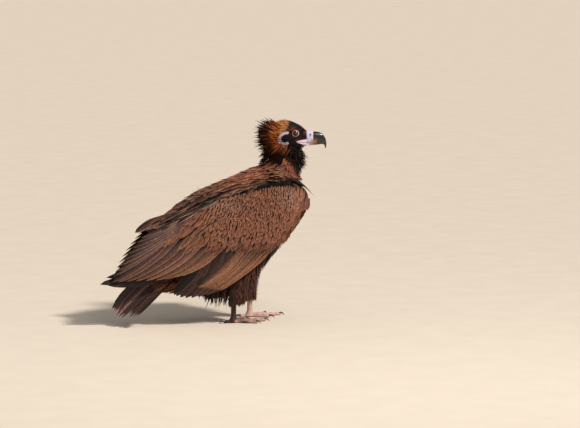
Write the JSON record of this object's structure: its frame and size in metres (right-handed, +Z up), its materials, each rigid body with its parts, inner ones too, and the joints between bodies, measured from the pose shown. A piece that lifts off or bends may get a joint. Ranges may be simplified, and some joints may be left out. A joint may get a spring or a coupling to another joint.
{
  "type": "cinereous vulture",
  "caption": "Life-size standing vulture with folded wings, head in profile, for display or as scenery.",
  "frame": {"origin": "on the ground, under the middle of the bird's whole box", "axes": "+X ahead, the way the bird's body faces; +Y to its left; +Z up"},
  "size_m": [0.7888, 0.317, 0.686],
  "materials": {
    "plumage": "matt brown body feathers",
    "flight_feathers": "satin dark brown wing and tail feathers",
    "ruff": "matt rufous neck plumes",
    "bare_skin": "soft lilac-white skin",
    "horn": "polished dark horn",
    "eye": "wet, glossy dark brown",
    "leg_scales": "pale scaly skin"
  },
  "bodies": {
    "root": {"trunk": "plumage", "neck": "plumage", "ruff": "ruff", "head": "plumage", "cere": "bare_skin", "bill_upper": "horn", "bill_lower": "horn", "eye_right": "eye", "eye_left": "eye", "wing_arm_right": "plumage", "wing_arm_left": "plumage", "secondaries_right": "flight_feathers", "secondaries_left": "flight_feathers", "tertials_right": "flight_feathers", "tertials_left": "flight_feathers", "primaries_right": "flight_feathers", "primaries_left": "flight_feathers", "raised_feather_left": "flight_feathers", "tail": "flight_feathers", "trousers_right": "plumage", "trousers_left": "plumage", "tarsus_right": "leg_scales", "tarsus_left": "leg_scales", "foot_right": "leg_scales", "foot_left": "leg_scales", "claw_right_inner": "horn", "claw_right_middle": "horn", "claw_right_outer": "horn", "claw_right_hind": "horn", "claw_left_inner": "horn", "claw_left_middle": "horn", "claw_left_outer": "horn", "claw_left_hind": "horn"}
  },
  "joints": []
}
